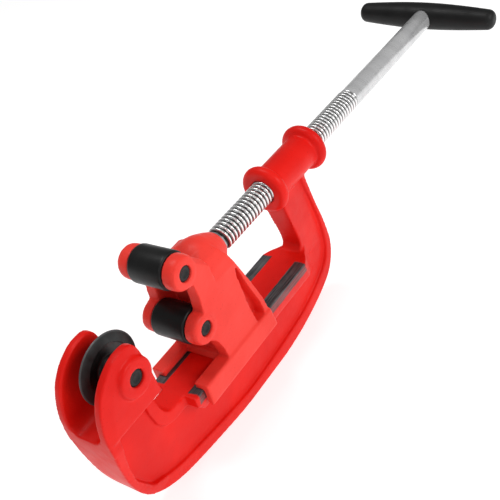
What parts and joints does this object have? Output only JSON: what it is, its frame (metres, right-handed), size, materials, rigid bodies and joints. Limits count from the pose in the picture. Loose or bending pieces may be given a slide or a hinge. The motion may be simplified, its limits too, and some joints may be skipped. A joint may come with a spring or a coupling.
{
  "type": "pipe cutter",
  "caption": "Heavy duty pipe cutter: cast C frame with a cutter wheel in a fork, a roller slide on a rail and a feed screw with a T handle.",
  "frame": {"origin": "axis of the pipe being cut, at the middle plane of the tool, on the feed screw's axis", "axes": "+X along the feed screw from the cutter wheel towards the handle, +Y along the pipe, +Z out of the open side of the jaw, away from the frame's back"},
  "size_m": [0.4383, 0.113, 0.1419],
  "materials": {
    "frame_enamel": "satin red enamel on a casting",
    "slide_enamel": "satin coral red enamel on a casting",
    "wheel_steel": "dark hardened steel, ground bevel",
    "roller_steel": "smooth black oxide",
    "dark_steel": "black oxide",
    "bright_steel": "bright plated steel",
    "core_steel": "plain steel",
    "grip_black": "moulded, slightly glossy"
  },
  "bodies": {
    "c_frame": {"frame": "frame_enamel", "wheel_pin": "dark_steel"},
    "wheel": {"cutter_wheel": "wheel_steel"},
    "roller_slide": {"slide": "slide_enamel", "roller_pin_upper": "dark_steel", "roller_pin_lower": "dark_steel", "thrust_collar": "bright_steel", "thrust_washer": "bright_steel"},
    "upper_roller": {"roller_upper": "roller_steel"},
    "lower_roller": {"roller_lower": "roller_steel"},
    "screw_and_handle": {"feed_screw": "bright_steel", "retaining_ring": "dark_steel", "handle_core": "core_steel", "handle_grip": "grip_black"}
  },
  "joints": [
    {"name": "wheel_spin", "type": "hinge", "parent": "c_frame", "child": "wheel", "pos_m": [-0.0376, 0, -0.0046], "axis": [0, 1, 0], "continuous": true},
    {"name": "slide_feed", "type": "slide", "parent": "c_frame", "child": "roller_slide", "axis": [1, 0, 0], "range_m": [-0.012, 0.036]},
    {"name": "roller_upper_spin", "type": "hinge", "parent": "roller_slide", "child": "upper_roller", "pos_m": [0.0162, 0, 0.02], "axis": [0, 1, 0], "continuous": true},
    {"name": "roller_lower_spin", "type": "hinge", "parent": "roller_slide", "child": "lower_roller", "pos_m": [0.0162, 0, -0.02], "axis": [0, 1, 0], "continuous": true},
    {"name": "screw_turn", "type": "hinge", "parent": "roller_slide", "child": "screw_and_handle", "pos_m": [0.2, 0, 0], "axis": [1, 0, 0], "range_deg": [-1361, 4082]}
  ],
  "couplings": [
    {"joint": "screw_turn", "follows": "slide_feed", "rad_per_m": 1979}
  ]
}
